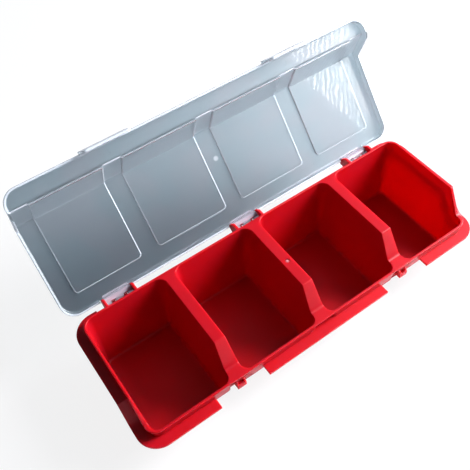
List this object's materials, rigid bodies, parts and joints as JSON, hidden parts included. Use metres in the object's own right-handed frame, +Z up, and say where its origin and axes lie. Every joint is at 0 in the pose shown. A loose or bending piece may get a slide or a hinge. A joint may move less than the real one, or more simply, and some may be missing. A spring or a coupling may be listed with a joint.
{
  "type": "compartment storage box",
  "caption": "Long plastic compartment box with a sloping front, a ledge below the rim and a clear hinged lid that snaps shut on latch tongues.",
  "frame": {"origin": "middle of the tray's underside, in the plane that the closed box stands on", "axes": "+X along the box to the right as seen from the latch side, +Y from the latches to the hinges, +Z up"},
  "size_m": [0.3, 0.1584, 0.1497],
  "materials": {
    "tray_plastic": "glossy injection-moulded polypropylene, red",
    "lid_plastic": "glossy injection-moulded polypropylene, natural clear"
  },
  "bodies": {
    "tray": {"base_tray": "tray_plastic", "hinge_bar_left": "tray_plastic", "hinge_bar_middle": "tray_plastic", "hinge_bar_right": "tray_plastic"},
    "cover": {"lid": "lid_plastic"},
    "tongue_left": {"latch_tongue_left": "lid_plastic"},
    "tongue_right": {"latch_tongue_right": "lid_plastic"}
  },
  "joints": [
    {"name": "lid_hinge", "type": "hinge", "parent": "tray", "child": "cover", "pos_m": [0, 0.0513, 0.0532], "axis": [1, 0, 0], "range_deg": [0, 131.2]},
    {"name": "latch_flex_left", "type": "hinge", "parent": "cover", "child": "tongue_left", "pos_m": [-0.074, 0.10582, 0.13764], "axis": [-1, 0, 0], "range_deg": [0, 12], "stiffness_Nm_per_rad": 0.8},
    {"name": "latch_flex_right", "type": "hinge", "parent": "cover", "child": "tongue_right", "pos_m": [0.074, 0.10582, 0.13764], "axis": [-1, 0, 0], "range_deg": [0, 12], "stiffness_Nm_per_rad": 0.8}
  ]
}
